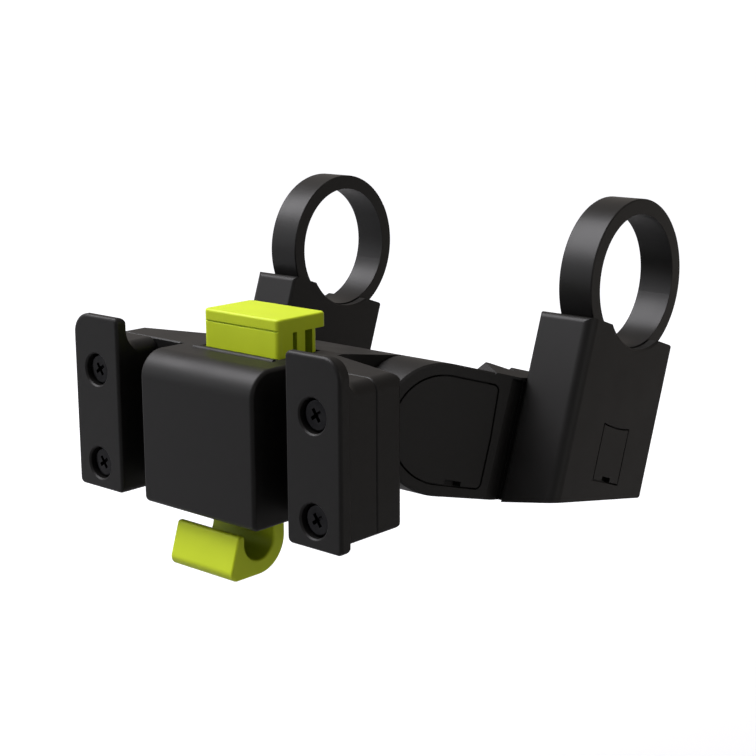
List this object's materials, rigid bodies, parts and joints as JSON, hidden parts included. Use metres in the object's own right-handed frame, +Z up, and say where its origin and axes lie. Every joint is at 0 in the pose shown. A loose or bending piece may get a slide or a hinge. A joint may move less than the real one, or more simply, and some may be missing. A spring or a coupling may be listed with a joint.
{
  "type": "bicycle handlebar bag mount",
  "caption": "Quick-release bag mount for a bicycle handlebar: band clamps on splayed arms, a tilting bracket with upright rails and a sprung latch with a push button.",
  "frame": {"origin": "on the handlebar's axis, midway between the two clamps", "axes": "+X along the handlebar, to the right as seen from the bag; +Y from the bag back towards the rider; +Z up, along the bag rails"},
  "size_m": [0.1106, 0.1158, 0.0804],
  "materials": {
    "black_plastic": "fine matte moulded glass-filled nylon",
    "band_plastic": "satin moulded nylon",
    "lime_plastic": "satin moulded acetal",
    "black_screw": "black oxide steel",
    "steel": "zinc plated",
    "friction_disc": "dull friction fibre"
  },
  "bodies": {
    "bar_side": {"arm_left": "black_plastic", "arm_right": "black_plastic", "arm_cover_left": "black_plastic", "arm_cover_right": "black_plastic", "clamp_block_left": "black_plastic", "clamp_block_right": "black_plastic", "clamp_band_left": "band_plastic", "clamp_band_right": "band_plastic", "clamp_cover_left": "black_plastic", "clamp_cover_right": "black_plastic", "band_screw_left": "steel", "band_screw_right": "steel", "band_nut_left": "steel", "band_nut_right": "steel", "clamp_screws_left": "black_screw", "clamp_screws_right": "black_screw", "pivot_bolt": "steel", "pivot_nut": "steel", "pivot_washer_left": "steel", "pivot_washer_right": "steel"},
    "receiver": {"base_bracket": "black_plastic", "rail_left": "black_plastic", "rail_right": "black_plastic", "lock_housing": "black_plastic", "rail_screws": "black_screw", "return_spring": "steel", "friction_disc_left": "friction_disc", "friction_disc_right": "friction_disc"},
    "latch": {"latch": "lime_plastic"}
  },
  "joints": [
    {"name": "receiver_tilt", "type": "hinge", "parent": "bar_side", "child": "receiver", "pos_m": [0, -0.0511, -0.03015], "axis": [1, 0, 0], "range_deg": [-30, 30]},
    {"name": "latch_press", "type": "slide", "parent": "receiver", "child": "latch", "axis": [0, 0, -1], "range_m": [0, 0.004], "stiffness_N_per_m": 2000, "springref_m": -0.004, "deforming": ["return_spring"]}
  ]
}
